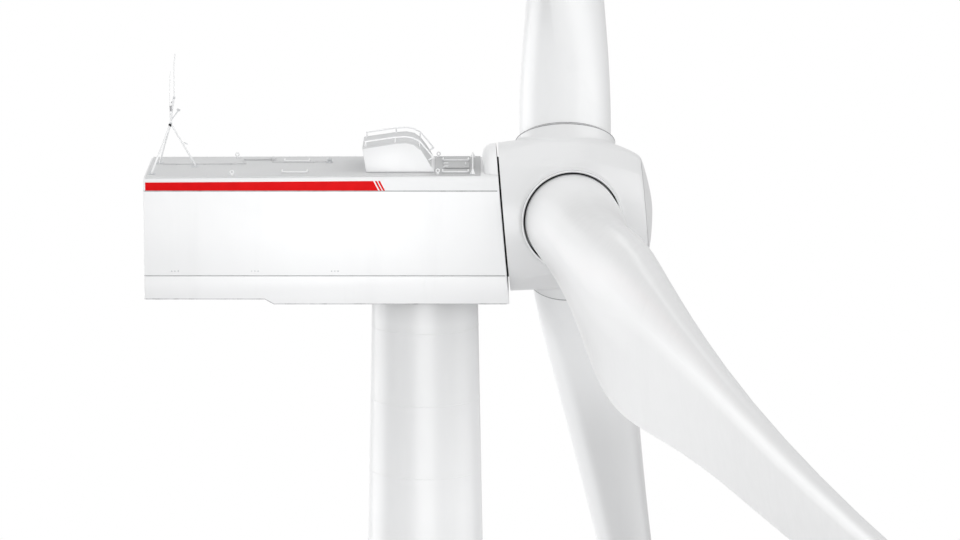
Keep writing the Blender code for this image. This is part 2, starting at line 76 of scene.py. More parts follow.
REAR_X = -8.65
FRONT_X = 2.26  # the housing's front at the upper seam
HALF_WIDTH = 2.05
TRAY_OUT = 0.03  # how far the belly tray stands out from the walls
BELLY_Z = 12.66
BELLY_REAR_RISE = 0.155
BELLY_STEP_X = (-4.93, -4.65)
BELLY_FRONT_X = 2.55
LOWER_SEAM_Z = 13.55
UPPER_SEAM_Z = 16.21
ROOF_Z = 16.68  # at the roof's front end
ROOF_REAR_Z = 16.62
ROOF_LENGTH = 10.67
DECK_HALF_WIDTH = 1.93  # of its rows of fixings, at the rear
DECK_NARROWS = 0.19
DECK_LENGTH = 10.6
PIPE_RISE = 0.028  # from the roof to the middle of a pipe that lies on it
MAST_HEAD = Vector((-7.88, -0.50, 18.08))
# The hood's faces that its top coating covers: how far they look up at least, and their lowest height.
MAT_SLOPE = 0.45
MAT_LOW_Z = 16.82
HOOD_MOUTH = (16.783, 17.287)  # the bottom and the top of the hood's open end
TOWER_TAPER = 0.0189  # how much radius a metre of height takes off
SPINNER_REAR = -1.925
RUNNING = 0.06
# Outlines of (distance ahead of the hub's centre, radius).
SPINNER_PROFILE = [
    (-1.925, 2.325), (-1.4, 2.35), (-0.6, 2.38), (0.0, 2.385), (0.6, 2.35), (1.1, 2.23), (1.55, 2.03),
    (2.0, 1.82), (2.36, 1.60), (2.47, 1.48),
]
NOSE_PROFILE = [(2.473, 1.475), (2.53, 1.30), (2.60, 0.98), (2.66, 0.60), (2.70, 0.25), (2.71, 0.0)]
BELT_PROFILE = [
    (-1.95, 2.345), (-1.2, 2.31), (0.6, 2.29), (1.1, 2.175), (1.55, 1.98), (2.0, 1.765), (2.36, 1.54),
    (2.5, 1.40),
]
RING_FROM_HUB = 2.33
RING_RADIUS = 1.51
PREBEND = 3.37
PREBEND_POWER = 2.5
# Distance from the hub's centre, chord, thickness, part of the chord ahead of the pitch axis,
# twist in degrees, and how far the section has turned from a circle into a wing.
BLADE_STATIONS = [
    (1.453, 2.88, 2.88, 0.50, 0.0, 0.00),
    (3.60, 2.88, 2.88, 0.50, 2.0, 0.00),
    (5.20, 2.94, 2.80, 0.475, 8.0, 0.12),
    (7.20, 3.10, 2.56, 0.43, 14.0, 0.35),
    (9.50, 3.36, 2.22, 0.385, 16.6, 0.60),
    (12.0, 3.82, 1.86, 0.362, 16.5, 0.82),
    (15.0, 4.34, 1.52, 0.356, 14.9, 0.95),
    (18.0, 4.66, 1.26, 0.364, 13.1, 1.0),
    (21.0, 4.64, 1.06, 0.373, 11.4, 1.0),
    (25.0, 4.20, 0.88, 0.376, 9.2, 1.0),
    (30.0, 3.52, 0.72, 0.370, 7.0, 1.0),
    (35.0, 2.94, 0.58, 0.352, 5.2, 1.0),
    (40.0, 2.51, 0.47, 0.320, 3.8, 1.0),
    (46.0, 2.10, 0.38, 0.287, 2.5, 1.0),
    (52.0, 1.73, 0.31, 0.266, 1.3, 1.0),
    (58.0, 1.42, 0.25, 0.262, 0.5, 1.0),
    (64.0, 1.14, 0.20, 0.27, 0.0, 1.0),
    (69.0, 0.86, 0.15, 0.29, 0.0, 1.0),
    (71.8, 0.58, 0.10, 0.34, 0.0, 1.0),
    (73.0, 0.22, 0.05, 0.45, 0.0, 1.0),
]
# The distances that the lofted blades have a ring of points at.
BLADE_RINGS = [
    1.453, 1.50, 2.4, 3.2, 3.8, 4.4, 5.0, 5.6, 6.3, 7.0, 7.8, 8.7, 9.6, 10.6, 11.7, 12.8, 14.0, 15.2, 16.5,
    18, 19.5, 21, 23, 25, 27.5, 30, 33, 36, 40, 44, 48, 52, 56, 60, 64, 67, 69.5, 71.5, 72.5, 72.9, 73.0,
]
NOSE_SHARE = 0.43  # the part of a face's points that go to its round nose
UPWIND_CREST = 0.33  # the part of the chord where the upwind face is fullest
# Where the ridge on the blade's downwind face lies: distance and part of the chord.
RIDGE = [(9.5, 0.40), (16.0, 0.39), (28.0, 0.27), (38.0, 0.17), (50.0, 0.14)]
# A painted highlight line along the nose of the downwind face: the same two values,
# and how bright it is.
HIGHLIGHT_LINE_PLACE = [(17.0, 0.040), (22.0, 0.055), (29.0, 0.050), (34.0, 0.036), (40.0, 0.024)]
HIGHLIGHT_LINE_STRENGTH = [(13.0, 0.0), (17.0, 0.50), (20.0, 0.46), (24.0, 0.34), (36.0, 0.24), (44.0, 0.0)]


# Small makers of shapes, all drawn in real metres.


def box(low, high, place=None):
    bm = bmesh.new()
    bmesh.ops.create_cube(bm, size=1.0)
    low, high = Vector(low), Vector(high)
    bmesh.ops.scale(bm, vec=high - low, verts=bm.verts)
    bmesh.ops.translate(bm, vec=(low + high) / 2, verts=bm.verts)
    if place is not None:
        bm.transform(place)
    return bm


def lathe(profile, steps, place=None, closed=False):
    """Points of (along, radius) turned about Z, and set at place. A closed outline makes a ring."""
    bm = bmesh.new()
    verts = [bm.verts.new((radius, 0, along)) for along, radius in profile]
    edges = [bm.edges.new(pair) for pair in zip(verts, verts[1:])]
    if closed:
        edges.append(bm.edges.new((verts[-1], verts[0])))
    bmesh.ops.spin(
        bm, geom=verts + edges, cent=(0, 0, 0), axis=(0, 0, 1), angle=2 * math.pi, steps=steps,
        use_merge=True,
    )
    bmesh.ops.remove_doubles(bm, verts=bm.verts, dist=1e-5)
    bmesh.ops.recalc_face_normals(bm, faces=bm.faces)
    if place is not None:
        bm.transform(place)
    return bm


def smooth_outline(points, count=8):
    """The same outline with more points, on a curve that passes through the given ones."""
    out = []
    for index in range(len(points) - 1):
        low, high = Vector(points[index]), Vector(points[index + 1])
        before = Vector(points[index - 1]) if index else low * 2 - high
        after = Vector(points[index + 2]) if index + 2 < len(points) else high * 2 - low
        for step in range(count):
            share = step / count
            out.append(tuple(0.5 * (
                low * 2 + (high - before) * share
                + (before * 2 - low * 5 + high * 4 - after) * share**2
                + (low * 3 - before - high * 3 + after) * share**3
            )))
    return out + [points[-1]]


def prism(profile, y_low, y_high):
    """The closed outline of (x, z) points, drawn out along Y."""
    bm = bmesh.new()
    face = bm.faces.new([bm.verts.new((x, y_low, z)) for x, z in profile])
    grown = bmesh.ops.extrude_face_region(bm, geom=[face])["geom"]
    moved = [part for part in grown if isinstance(part, bmesh.types.BMVert)]
    bmesh.ops.translate(bm, vec=(0, y_high - y_low, 0), verts=moved)
    bmesh.ops.recalc_face_normals(bm, faces=bm.faces)
    return bm


def drum(low, high, radius, steps, place=None):
    return lathe([(low, 0), (low, radius), (high, radius), (high, 0)], steps, place)


def tube(points, radius, sides=12):
    """A round bar along these points: a circle swept from point to point, with its ends closed."""
    points = [Vector(point) for point in points]
    bm = bmesh.new()
    side = None
    loops = []
    for index, point in enumerate(points):
        before = (point - points[index - 1]).normalized() if index else None
        after = (points[index + 1] - point).normalized() if index + 1 < len(points) else None
        along = ((before or after) + (after or before)).normalized()
        widen = 1 / max(0.3, along.dot(after or before))
        side = along.orthogonal() if side is None else side - along * side.dot(along)
        side.normalize()
        turn = Matrix((side, along.cross(side), along)).transposed().to_4x4()
        ring = bmesh.ops.create_circle(bm, segments=sides, radius=radius)["verts"]
        bmesh.ops.transform(bm, matrix=Matrix.Translation(point) @ turn, verts=ring)
        if before and after and widen > 1.001:
            fold = (after - before).normalized()
            for vert in ring:
                vert.co += fold * (vert.co - point).dot(fold) * (widen - 1)
        loops.append(ring)
    skin_rings(bm, loops)
    return bm


def skin_rings(bm, loops):
    """Joins rings of equal size into a tube and closes its two ends."""
    bm.verts.index_update()
    for first, second in zip(loops, loops[1:]):
        edges = set()
        for loop in (first, second):
            members = set(loop)
            edges |= {edge for vert in loop for edge in vert.link_edges if edge.other_vert(vert) in members}
        bmesh.ops.bridge_loops(bm, edges=list(edges))
    bm.faces.new(loops[0][::-1])
    bm.faces.new(loops[-1])
    bmesh.ops.recalc_face_normals(bm, faces=bm.faces)


def dome(radius, height, place, steps=12):
    """A low round button that stands on the place's Z = 0."""
    points = [(0, radius)]
    points += [(height * math.sin(turn), radius * math.cos(turn)) for turn in (0.5, 1.0, 1.3)]
    return lathe([(-0.01, 0), (-0.01, radius)] + points + [(height, 0)], steps, place)


def merged(shapes):
    """Several shapes as one bmesh."""
    first = shapes[0]
    for shape in shapes[1:]:
        mesh = bpy.data.meshes.new("joined")
        shape.to_mesh(mesh)
        shape.free()
        first.from_mesh(mesh)
        bpy.data.meshes.remove(mesh)
    return first


def soften(bm, width, segments=3, angle=35, test=None):
    """Rounds the edges sharper than this angle, and only those that pass the test."""
    edges = [edge for edge in bm.edges if edge.is_manifold and edge.calc_face_angle() > math.radians(angle)]
    if test:
        edges = [edge for edge in edges if test(edge)]
    bmesh.ops.bevel(
        bm, geom=edges, offset=width, offset_type="OFFSET", segments=segments, profile=0.5,
        affect="EDGES", clamp_overlap=True, material=-1,
    )
    return bm


def linked(name, bm):
    """Makes the shape an object of the scene, at the origin."""
    mesh = bpy.data.meshes.new(name)
    bm.to_mesh(mesh)
    bm.free()
    made = bpy.data.objects.new(name, mesh)
    bpy.context.scene.collection.objects.link(made)
    return made


def piece(name, bm, look, replaces=(), smooth=30, body="nacelle", real=True):
    """Makes the shape an object and says what it rides on, replaces and is made of.

    The shape is in real metres, or in model metres where real is off.
    """
    if real:
        bmesh.ops.scale(bm, vec=(SCALE, SCALE, SCALE), verts=bm.verts)
    made = linked(name, bm)
    made.data.shade_smooth()
    made.data.set_sharp_from_angle(angle=math.radians(smooth))
    made.data.materials.append(finish(look))
    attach(made, body)
    if replaces:
        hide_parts(*replaces)
    return made


def node_copy(name):
    """A CAD node's shape in model metres, with its loose triangles merged back into faces."""
    bm = bmesh.new()
    bm.from_mesh(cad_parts[name].data)
    bmesh.ops.remove_doubles(bm, verts=bm.verts, dist=2e-6)
    bmesh.ops.dissolve_limit(bm, angle_limit=math.radians(0.6), verts=bm.verts, edges=bm.edges)
    return bm


def repaint(name, look):
    """Gives a CAD node that is already the right shape a better finish."""
    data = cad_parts[name].data
    data.materials.clear()
    data.materials.append(finish(look))


def applied(target, steps):
    """The mesh left by these modifiers, as a bmesh; the helper objects go."""
    used = [target]
    for kind, settings in steps:
        step = target.modifiers.new(kind.lower(), kind)
        for key, value in settings.items():
            setattr(step, key, value)
        if kind == "BOOLEAN":
            used.append(settings["object"])
    graph = bpy.context.evaluated_depsgraph_get()
    mesh = bpy.data.meshes.new_from_object(target.evaluated_get(graph))
    bm = bmesh.new()
    bm.from_mesh(mesh)
    bpy.data.meshes.remove(mesh)
    for old in used:
        bpy.data.objects.remove(old, do_unlink=True)
    return bm


# Finishes.


class Wires:
    """Short calls for wiring a node tree."""

    def __init__(self, tree):
        self.tree = tree

    def add(self, kind, **settings):
        made = self.tree.nodes.new(kind)
        for key, value in settings.items():
            setattr(made, key, value)
        return made

    def join(self, source, socket):
        self.tree.links.new(source, socket)

    def math(self, operation, *values):
        step = self.add("ShaderNodeMath", operation=operation)
        for socket, value in zip(step.inputs, values):
            if isinstance(value, (int, float)):
                socket.default_value = value
            else:
                self.join(value, socket)
        return step.outputs[0]

    def times(self, first, second):
        return self.math("MULTIPLY", first, second)


class Nodes(Wires):
    """The wiring of a material."""

    def __init__(self, name):
        self.material = bpy.data.materials.new(name)
        self.material.use_nodes = True
        super().__init__(self.material.node_tree)
        self.shader = self.tree.nodes["Principled BSDF"]
        self.place = self.add("ShaderNodeTexCoord").outputs["Object"]

    def noise(self, scale, detail=4.0, roughness=0.55, stretch=None):
        texture = self.add("ShaderNodeTexNoise")
        texture.inputs["Scale"].default_value = scale
        texture.inputs["Detail"].default_value = detail
        texture.inputs["Roughness"].default_value = roughness
        place = self.place
        if stretch:
            mapping = self.add("ShaderNodeMapping")
            mapping.inputs["Scale"].default_value = stretch
            self.join(self.place, mapping.inputs["Vector"])
            place = mapping.outputs[0]
        self.join(place, texture.inputs["Vector"])
        return texture.outputs["Fac"]

    def spread(self, value, low, high, to_low=0.0, to_high=1.0):
        step = self.add("ShaderNodeMapRange")
        self.join(value, step.inputs["Value"])
        for key, number in (("From Min", low), ("From Max", high), ("To Min", to_low), ("To Max", to_high)):
            step.inputs[key].default_value = number
        return step.outputs[0]

    def mix(self, share, first, second):
        step = self.add("ShaderNodeMix", data_type="RGBA")
        self.join(share, step.inputs[0])
        for socket, value in ((step.inputs[6], first), (step.inputs[7], second)):
            if isinstance(value, bpy.types.NodeSocket):
                self.join(value, socket)
            else:
                socket.default_value = (*value[:3], 1.0)
        return step.outputs[2]

    def bump(self, height, strength, distance):
        step = self.add("ShaderNodeBump")
        step.inputs["Strength"].default_value = strength
        step.inputs["Distance"].default_value = distance
        self.join(height, step.inputs["Height"])
        self.join(step.outputs[0], self.shader.inputs["Normal"])

    def patches(self, low, high, *noise):
        """Soft patches: a noise spread between these two values of it."""
        return self.spread(self.noise(*noise), low, high)

    def paint(self, share, first, second):
        self.put("Base Color", self.mix(share, first, second))

    def rough(self, texture, low, high):
        self.put("Roughness", self.spread(texture, 0.3, 0.7, low, high))

    def coat(self, weight, roughness):
        self.put("Coat Weight", weight)
        self.put("Coat Roughness", roughness)

    def axes(self):
        """The object's own X, Y and Z."""
        parts = self.add("ShaderNodeSeparateXYZ")
        self.join(self.place, parts.inputs[0])
        return parts.outputs

    def base(self):
        """What feeds the base colour so far."""
        return self.shader.inputs["Base Color"].links[0].from_socket

    def put(self, socket, value):
        if isinstance(value, bpy.types.NodeSocket):
            self.join(value, self.shader.inputs[socket])
        else:
            self.shader.inputs[socket].default_value = value


def shaded(colour, share):
    return tuple(channel * share for channel in colour[:3])


GLOSS = 0.7


def gelcoat(name, colour, stain=0.05, roughness=0.36, coat=0.6):
    """Glass-fibre with a smooth coat: soft tone changes, faint rain streaks and a fine wavy surface."""
    wires = Nodes(name)
    cloud = wires.patches(0.35, 0.70, 1.7, 5.0)
    tone = wires.mix(cloud, colour, shaded(colour, 1 - stain * 0.6))
    streak = wires.patches(0.56, 0.80, 9.0, 6.0, 0.6, (1.0, 1.0, 0.12))
    speck = wires.patches(0.66, 0.80, 160.0, 2.0)
    dirt = wires.times(wires.math("MAXIMUM", streak, wires.times(speck, 0.5)), stain * 2.2)
    wires.paint(dirt, tone, shaded(colour, 0.62))
    wires.rough(wires.noise(24.0, 5.0), roughness - 0.05, roughness + 0.08)
    wires.put("Specular IOR Level", GLOSS)
    wires.coat(coat, 0.28)
    ripple = wires.math("ADD", wires.noise(6.0, 2.0), wires.times(wires.noise(420.0, 2.0), 0.12))
    wires.bump(ripple, 0.06, 0.004)
    return wires


# The stripe, in model metres: its lower edge, the slant of its ends, its rear and front ends, the two
# thin bars ahead of it, its height at the rear and how it grows toward the front.
STRIPE_LOW_Z = 1.6245
STRIPE_SLANT = 0.52
STRIPE_REAR = -0.859
STRIPE_FRONT = -0.142
STRIPE_BARS = (-0.1375, -0.1275)
STRIPE_BAR_WIDTH = 0.0065
STRIPE_HEIGHT = 0.0232
STRIPE_RISE = 0.0062
SIDE_Y = 0.165  # the stripe is painted outside this width


def striped(name, colour, red):
    """The roof shell's gelcoat with the painted stripe along each side."""
    wires = gelcoat(name, colour)
    base = wires.base()
    x, y, z = wires.axes()
    above = wires.math("SUBTRACT", z, STRIPE_LOW_Z)
    along = wires.math("ADD", x, wires.times(above, STRIPE_SLANT))

    def inside(value, low, high):
        return wires.times(wires.math("GREATER_THAN", value, low), wires.math("LESS_THAN", value, high))

    bands = inside(along, -2.0, STRIPE_FRONT)
    for low in STRIPE_BARS:
        bands = wires.math("MAXIMUM", bands, inside(along, low, low + STRIPE_BAR_WIDTH))
    from_rear = wires.math("SUBTRACT", x, STRIPE_REAR)
    top = wires.math("ADD", wires.times(from_rear, STRIPE_RISE), STRIPE_HEIGHT)
    bands = wires.times(bands, wires.math("LESS_THAN", above, top))
    bands = wires.times(bands, wires.math("GREATER_THAN", x, STRIPE_REAR))
    bands = wires.times(bands, wires.math("GREATER_THAN", wires.math("ABSOLUTE", y), SIDE_Y))
    grain = wires.patches(0.3, 0.7, 30.0, 4.0)
    paint = wires.mix(grain, red, shaded(red, 0.90))
    wires.paint(bands, base, paint)
    wires.put("Specular IOR Level", 0.05)
    wires.put("Coat Weight", 0.0)
    return wires


def tower_coating(name, colour):
    """The tower's sprayed coating, with painted shade under the nacelle: darker toward the tower's top."""
    wires = coated_steel(name, colour)
    base = wires.base()
    height = wires.axes()[2]
    # Painted shade under the nacelle: the coating darkens toward the top of the tower.
    slow = wires.spread(height, 0.60, 1.25, 0.0, 0.45)  # heights are in model metres
    close = wires.math("POWER", wires.spread(height, 1.06, 1.262), 2.0)
    painted_shade_under_nacelle = wires.math("MAXIMUM", slow, close)
    wires.paint(painted_shade_under_nacelle, base, shaded(colour, 0.66))
    return wires


def deck_grey(name, colour):
    """Non-slip roof coating: a dense grit, worn in soft patches, with painted shade ahead of the hood."""
    wires = Nodes(name)
    grit = wires.noise(520.0, 3.0, 0.7)
    patch = wires.patches(0.35, 0.75, 3.5, 5.0)
    tone = wires.mix(patch, colour, shaded(colour, 0.93))
    wires.paint(wires.spread(grit, 0.45, 0.75, 0.0, 0.35), tone, shaded(colour, 0.80))
    # Painted shade on the roof between the hood and the rotor: darker ahead of the hood.
    painted_shade_ahead_of_hood = wires.times(wires.spread(wires.axes()[0], -0.02, 0.05), 0.5)
    wires.paint(painted_shade_ahead_of_hood, wires.base(), shaded(colour, 0.55))
    wires.rough(grit, 0.55, 0.75)
    wires.bump(grit, 0.25, 0.0015)
    return wires


def coated_steel(name, colour, roughness=0.34):
    """Sprayed steel: a light orange peel, a soft gloss and faint vertical wash marks."""
    wires = Nodes(name)
    wash = wires.patches(0.45, 0.85, 7.0, 6.0, 0.6, (1.0, 1.0, 0.10))
    cloud = wires.patches(0.35, 0.7, 2.0, 4.0)
    tone = wires.mix(cloud, colour, shaded(colour, 0.965))
    wires.paint(wires.times(wash, 0.22), tone, shaded(colour, 0.80))
    wires.rough(wires.noise(30.0, 4.0), roughness - 0.04, roughness + 0.08)
    wires.put("Specular IOR Level", GLOSS)
    wires.coat(0.7, 0.3)
    wires.bump(wires.noise(260.0, 3.0), 0.05, 0.001)
    return wires


def bare_metal(name, colour, roughness=0.42, metallic=0.85):
    """Galvanised or machined metal with a spangle of lighter and darker patches."""
    wires = Nodes(name)
    spangle = wires.patches(0.35, 0.7, 90.0, 3.0, 0.6)
    wires.paint(spangle, colour, shaded(colour, 0.78))
    wires.put("Metallic", metallic)
    wires.rough(wires.noise(140.0, 4.0), roughness - 0.08, roughness + 0.12)
    wires.bump(wires.noise(300.0, 3.0), 0.08, 0.0006)
    return wires


def rubber(name, colour):
    wires = Nodes(name)
    dust = wires.patches(0.5, 0.85, 40.0, 5.0)
    wires.paint(dust, colour, (0.09, 0.09, 0.095))
    wires.rough(wires.noise(60.0, 4.0), 0.6, 0.8)
    wires.bump(wires.noise(350.0, 3.0), 0.15, 0.0006)
    return wires


def clear_lens(name, colour):
    wires = Nodes(name)
    wires.paint(wires.patches(0.4, 0.7, 50.0, 3.0), colour, shaded(colour, 0.8))
    wires.put("Roughness", 0.12)
    wires.coat(0.6, 0.05)
    return wires


def blade_skin(name, colour):
    """Gelcoat with painted highlights and shade, placed by the blade's own attribute."""
    wires = gelcoat(name, colour, stain=0.05)
    base = wires.base()
    painted_light_and_shade = wires.add("ShaderNodeAttribute", attribute_name="painted_light_and_shade").outputs["Fac"]
    # Painted shade at the attribute's low end, painted highlight at its high end.
    low, high = shaded(colour, 0.80), shaded(colour, 1.12)
    tone = wires.mix(wires.spread(painted_light_and_shade, 0.0, 0.5), low, base)
    wires.paint(wires.spread(painted_light_and_shade, 0.5, 1.0), tone, high)
    return wires


FINISHES = {}


def finish(name):
    """The named finish, made once from the panel's colours."""
    if name not in FINISHES:
        colours = bpy.context.scene.turbine_colours
        white, grey, steel = colours.gelcoat, colours.deck, colours.steel
        makers = {
            "housing": lambda: gelcoat("housing_gelcoat", white),
            "striped": lambda: striped("striped_gelcoat", white, colours.stripe),
            # Painted shade: the spinner's gelcoat is a darker copy of the housing's.
            "spinner": lambda: gelcoat("spinner_gelcoat", shaded(white, 0.91), 0.045),
            "rim": lambda: gelcoat("rim_gelcoat", white, 0.03),
            "blade": lambda: blade_skin("blade_gelcoat", white),
            "tower": lambda: tower_coating("tower_coating", colours.tower),
            "rail": lambda: coated_steel("rail_coating", shaded(white, 1.04), 0.3),
            "deck": lambda: deck_grey("roof_coating", grey),
            "gasket": lambda: rubber("grey_gasket", (0.34, 0.34, 0.35)),
            # Grey for the belly's edge beads, which paint shade along its lower edges.
            "edge_shade": lambda: rubber("grey_edge_shade", (0.55, 0.55, 0.56)),
            "seal": lambda: rubber("black_seal", colours.seal),
            "sensor": lambda: rubber("sensor_plastic", (0.42, 0.42, 0.43)),
            "zinc": lambda: bare_metal("galvanised", shaded(steel, 1.45), 0.45, 0.30),
            "steel": lambda: bare_metal("machined_steel", steel, 0.35, 0.9),
            "lens": lambda: clear_lens("clear_lens", colours.lens),
        }
        FINISHES[name] = makers[name]().material
    return FINISHES[name]


def tint(name, description, colour):
    """A colour on the panel."""
    return bpy.props.FloatVectorProperty(
        name=name, description=description, subtype="COLOR", default=colour, min=0, max=1
    )


class TurbineColours(bpy.types.PropertyGroup):
    """Colours of the finishes."""

    gelcoat: tint("Gelcoat", "Housing, spinner and blades", (0.86, 0.865, 0.87))
    tower: tint("Tower", "Coating of the tower's cans", (0.86, 0.865, 0.87))
    deck: tint("Roof", "Non-slip coating of the roof", (0.68, 0.685, 0.69))
    stripe: tint("Stripe", "Painted stripe along the roof's edge", (0.74, 0.005, 0.007))
    seal: tint("Seals", "Rubber seals of the rotor and blades", (0.02, 0.02, 0.022))
    steel: tint("Steel", "Bare and galvanised metal", (0.48, 0.49, 0.50))
    lens: tint("Lens", "Lens of the obstruction light", (0.62, 0.64, 0.65))
    floor: tint("Floor", "Studio floor", (0.62, 0.62, 0.625))


def length(name, description, metres, least):
    """A length on the panel, as it is on the real machine."""
    return bpy.props.FloatProperty(
        name=name, description=description, unit="LENGTH", default=metres, min=least
    )


class TurbineSizes(bpy.types.PropertyGroup):
    """Sizes of the dressed details, as they are on the real machine."""

    edge_round: length("Panel edge", "Rounding of the housing panels' edges", 0.025, 0.005)
    blade_sides: bpy.props.IntProperty(
        name="Blade points", description="Points round a blade section", default=72, min=24
    )
    weld_height: length("Weld height", "How far a weld bead stands out", 0.010, 0.002)
    spinner_grain: length("Spinner mesh", "Size of the spinner's mesh squares", 0.045, 0.03)


def sizes():
    return bpy.context.scene.turbine_sizes


def on_outside(edge):
    """True for an edge of the housing's outer box, in model metres."""
    half = HALF_WIDTH * SCALE
    for vert in edge.verts:
        if abs(vert.co.y) < half - 0.0005 and vert.co.x > REAR_X * SCALE + 0.0035:
            return False
    return True


class TURBINE_OT_housing(bpy.types.Operator):
    """Housing shells with rounded panel edges, the gaskets in their seams and the stripe"""

    bl_idname = "turbine.housing"
    bl_label = "Housing"

    def execute(self, context):
        edge = sizes().edge_round * SCALE
        for node, name in (("main_housing", "housing_walls"), ("belly_tray", "belly_shell")):
            bm = soften(node_copy(node), edge, 3, 60, on_outside)
            piece(name, bm, "housing", [node], 28, real=False)
        bm = soften(node_copy("roof_shell"), edge * 0.8, 3, 75, on_outside)
        piece("roof_edge_shell", bm, "striped", ["roof_shell"], 28, real=False)
        bm = node_copy("front_collar")
        piece("collar_fairing", bm, "housing", ["front_collar"], 32, real=False)
        shapes = []
        out = HALF_WIDTH + 0.001
        for z in (LOWER_SEAM_Z, UPPER_SEAM_Z):
            front = FRONT_X + (UPPER_SEAM_Z - z) * math.tan(math.radians(TILT))
            low, high = z - 0.016, z + 0.013
            shapes.append(box((REAR_X + 0.03, -out, low), (front, -out + 0.05, high)))
            shapes.append(box((REAR_X + 0.03, out - 0.05, low), (front, out, high)))
            shapes.append(box((REAR_X - 0.001, -out + 0.03, low), (REAR_X + 0.06, out - 0.03, high)))
        piece("seam_gaskets", merged(shapes), "gasket")
        # Grey beads along the belly's lower edges: painted shade where the edges turn under.
        shapes = []
        rear_z = BELLY_Z + BELLY_REAR_RISE
        for side in (-1, 1):
            y = side * (HALF_WIDTH + TRAY_OUT - 0.008)
            line = [(REAR_X + 0.03, rear_z), (BELLY_STEP_X[0], rear_z)]
            line += [(BELLY_STEP_X[1], BELLY_Z), (BELLY_FRONT_X, BELLY_Z)]
            shapes.append(tube([(x, y, z + 0.012) for x, z in line], 0.013))
        x, y, z = REAR_X + 0.008, HALF_WIDTH + 0.01, rear_z + 0.012
        shapes.append(tube([(x, -y, z), (x, y, z)], 0.013))
        piece("belly_edge_shade_beads", merged(shapes), "edge_shade", smooth=40)
        return {"FINISHED"}


class TURBINE_OT_side_details(bpy.types.Operator):
    """Drain plugs in threes along both sides and the joint strips of the belly"""

    bl_idname = "turbine.side_details"
    bl_label = "Side details"

    def execute(self, context):
        shapes = []
        for side in (-1, 1):
            turn = turned(-side * 90, "X")
            for x in (-7.70, -5.23, -2.76):
                for shift in (-0.10, 0.0, 0.10):
                    place = Matrix.Translation((x + shift, side * HALF_WIDTH, 13.70))
                    shapes.append(dome(0.024, 0.012, place @ turn))
        piece("drain_plugs", merged(shapes), "zinc", smooth=40)
        shapes = []
        for side in (-1, 1):
            face = side * (HALF_WIDTH + TRAY_OUT)
            low, high = sorted((face - side * 0.01, face + side * 0.005))
            shapes.append(box((0.025, low, BELLY_Z + 0.08), (0.055, high, LOWER_SEAM_Z - 0.03)))
        strips = merged(shapes)
        piece("belly_joint_strips", soften(strips, 0.004, 2), "housing")
        return {"FINISHED"}


def roof_z(x):
    """The roof climbs a little from its rear end to its front end."""
    return ROOF_REAR_Z + (ROOF_Z - ROOF_REAR_Z) * (x - REAR_X) / ROOF_LENGTH


def on_roof(x, y, rise=0.0):
    return Matrix.Translation((x, y, roof_z(x) + rise))


def conduit(points, radius):
    """A pipe that lies just above the roof, with a saddle about every metre."""
    shapes = [tube([(x, y, roof_z(x) + PIPE_RISE) for x, y in points], radius)]
    for (x_low, y_low), (x_high, y_high) in zip(points, points[1:]):
        count = max(1, round(x_high - x_low))
        for step in range(count):
            share = (step + 0.5) / count
            x, y = x_low + (x_high - x_low) * share, y_low + (y_high - y_low) * share
            shapes.append(box((-0.02, -0.05, 0), (0.02, 0.05, PIPE_RISE + radius + 0.006), on_roof(x, y)))
    return shapes


class TURBINE_OT_roof(bpy.types.Operator):
    """Roof coating, conduits, fixings, foot plates, the front bar on its cones, and the rails' and lifting
    eyes' paint
    """

    bl_idname = "turbine.roof"
    bl_label = "Roof"

    def execute(self, context):
        repaint("roof_deck", "deck")
        shapes = []
        for side in (-1, 1):
            for step in range(20):
                x = -8.45 + step * 0.52
                half = DECK_HALF_WIDTH - DECK_NARROWS * (x - REAR_X) / DECK_LENGTH
                shapes.append(dome(0.022, 0.012, on_roof(x, side * half), 8))
        for step in range(7):
            shapes.append(dome(0.022, 0.012, on_roof(-8.50, -1.5 + step * 0.5), 8))
        piece("roof_fixings", merged(shapes), "zinc", smooth=40)
        shapes = conduit([(-8.20, 0.42), (-5.62, 0.42)], 0.016)
        shapes += conduit([(-5.72, 1.22), (-4.84, 1.22)], 0.024)
        shapes += conduit([(-4.78, 0.70), (-3.06, 0.70)], 0.014)
        for link in (((-5.62, 0.42, -5.6), (-5.72, 1.22, -5.7)), ((-4.80, 1.22, -4.8), (-4.78, 0.70, -4.8))):
            shapes.append(tube([(x, y, roof_z(near) + PIPE_RISE) for x, y, near in link], 0.014))
        shapes.append(box((-0.09, -0.07, 0), (0.09, 0.07, 0.075), on_roof(-4.77, 1.22)))
        piece("roof_conduit", soften(merged(shapes), 0.006, 2, 60), "deck")
        shapes = []
        for y in (-1.64, 1.56):
            cone = [(0, 0), (0, 0.08), (0.015, 0.08), (0.12, 0.032), (0.15, 0.03), (0.155, 0)]
            shapes.append(lathe(cone, 24, on_roof(1.50, y)))
        bar_z = roof_z(1.50) + 0.115
        shapes.append(tube([(1.50, -1.64, bar_z), (1.50, 1.56, bar_z)], 0.022))
        piece("front_tether_bar", merged(shapes), "rail", smooth=40)
        plates = []
        for end in ("rear_right", "rear_left", "front_right", "front_left"):
            node = f"roof_rail_{end}"
            low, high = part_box(node)
            foot_y = high[1] / SCALE - 0.0225
            repaint(node, "rail")
            for x in (low[0] / SCALE + 0.025, high[0] / SCALE - 0.025):
                plates.append(dome(0.045, 0.012, on_roof(x, foot_y), 16))
        for number in (1, 2, 3, 4):
            repaint(f"lifting_eye_{number}", "rail")
        for x, y in ((-8.42, -1.34), (-7.17, 0.05), (-8.30, 0.67)):
            plate = box((-0.11, -0.11, 0), (0.11, 0.11, 0.018), on_roof(x, y))
            plates.append(soften(plate, 0.006, 2, 60))
            for side in (-0.075, 0.075):
                for end in (-0.075, 0.075):
                    plates.append(dome(0.018, 0.02, on_roof(x + side, y + end, 0.018), 6))
        piece("foot_plates", merged(plates), "zinc", smooth=40)
        return {"FINISHED"}


